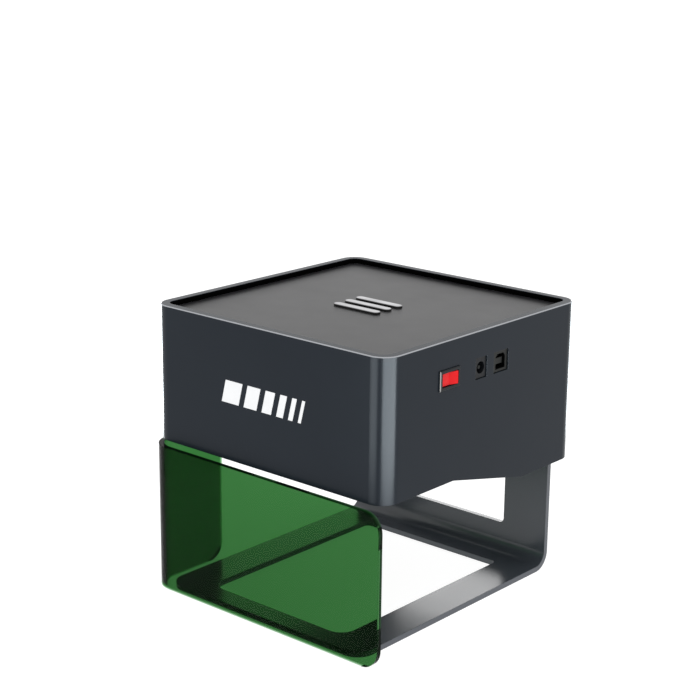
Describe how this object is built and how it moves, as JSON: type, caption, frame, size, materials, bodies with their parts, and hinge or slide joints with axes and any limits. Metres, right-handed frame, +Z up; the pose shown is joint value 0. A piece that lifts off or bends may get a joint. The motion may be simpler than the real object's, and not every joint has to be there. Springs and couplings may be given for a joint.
{
  "type": "desktop laser cutter",
  "caption": "Desktop laser cutter: rounded-square metal housing on a bent sheet stand with an open work area, a green L-shaped acrylic shield, side switch and sockets.",
  "frame": {"origin": "middle of the whole object's footprint, on the surface it stands on", "axes": "+Z up, the front with the shield faces -Y, the switch and sockets face +X"},
  "size_m": [0.1624, 0.17, 0.1562],
  "materials": {
    "housing_coat": "dark grey satin coat, fine grain",
    "panel_black": "black satin",
    "rib_gloss": "black gloss",
    "mark_white": "white print",
    "stand_coat": "dark grey semi-gloss coat",
    "green_acrylic": "clear green acrylic",
    "black_screw": "black oxide",
    "zinc": "zinc plate",
    "rod_steel": "ground steel",
    "brass": "turned brass",
    "bronze": "sintered bronze",
    "black_plastic": "fine matt",
    "motor_steel": "drawn steel",
    "black_aluminium": "black anodised",
    "board_green": "green solder mask",
    "capacitor_sleeve": "dark sleeve",
    "lens_glass": "coated glass",
    "red_plastic": "translucent red gloss"
  },
  "bodies": {
    "root": {"housing_shell": "housing_coat", "top_panel": "panel_black", "top_ribs": "rib_gloss", "front_mark": "mark_white", "stand": "stand_coat", "stand_screws": "black_screw", "stand_nuts": "zinc", "bottom_tray": "panel_black", "tray_screws": "black_screw", "front_rod_holders": "black_plastic", "rear_rod_holders": "black_plastic", "y_rods": "rod_steel", "y_motor": "motor_steel", "y_limit_switch": "black_plastic", "main_board": "board_green", "board_standoffs": "zinc", "board_screws": "zinc", "controller_chip": "black_plastic", "driver_chips": "black_plastic", "board_capacitors": "capacitor_sleeve", "dc_jack": "black_plastic", "dc_jack_pin": "rod_steel", "usb_socket": "motor_steel", "usb_tongue": "black_plastic", "switch_body": "black_plastic"},
    "y_gantry": {"gantry_block_left": "black_plastic", "gantry_block_right": "black_plastic", "gantry_bushings": "bronze", "y_nut": "brass", "x_rods": "rod_steel", "x_motor": "motor_steel"},
    "y_screw": {"y_lead_screw": "rod_steel"},
    "x_screw": {"x_lead_screw": "rod_steel"},
    "x_carriage": {"x_carriage_block": "black_plastic", "carriage_bushings": "bronze", "x_nut": "brass", "laser_heatsink": "black_aluminium", "laser_barrel": "brass", "laser_lens": "lens_glass", "fan_frame": "black_plastic"},
    "focus": {"focus_ring": "black_aluminium"},
    "fan": {"fan_rotor": "black_plastic"},
    "rocker": {"power_rocker": "red_plastic"},
    "shield": {"shield": "green_acrylic"}
  },
  "joints": [
    {"name": "y_travel", "type": "slide", "parent": "root", "child": "y_gantry", "axis": [0, 1, 0], "range_m": [-0.04, 0.04]},
    {"name": "y_screw_turn", "type": "hinge", "parent": "root", "child": "y_screw", "pos_m": [-0.06525, 0.00225, 0.12], "axis": [0, 1, 0], "range_deg": [-4801, 4801]},
    {"name": "x_travel", "type": "slide", "parent": "y_gantry", "child": "x_carriage", "axis": [1, 0, 0], "range_m": [-0.04, 0.04]},
    {"name": "x_screw_turn", "type": "hinge", "parent": "y_gantry", "child": "x_screw", "pos_m": [-0.00125, -0.02025, 0.12], "axis": [1, 0, 0], "range_deg": [-4801, 4801]},
    {"name": "focus_turn", "type": "hinge", "parent": "x_carriage", "child": "focus", "pos_m": [-0.00125, 0.00075, 0.091], "axis": [0, 0, 1], "range_deg": [-180, 180]},
    {"name": "fan_spin", "type": "hinge", "parent": "x_carriage", "child": "fan", "pos_m": [-0.00125, 0.00075, 0.121], "axis": [0, 0, 1], "continuous": true},
    {"name": "rocker_tilt", "type": "hinge", "parent": "root", "child": "rocker", "pos_m": [0.07675, -0.02995, 0.1366], "axis": [0, 0, 1], "range_deg": [0, 16]},
    {"name": "shield_away", "type": "slide", "parent": "root", "child": "shield", "axis": [0, -1, 0], "range_m": [0, 0.12]}
  ],
  "couplings": [
    {"joint": "y_screw_turn", "follows": "y_travel", "rad_per_m": 2094.4},
    {"joint": "x_screw_turn", "follows": "x_travel", "rad_per_m": 2094.4}
  ]
}
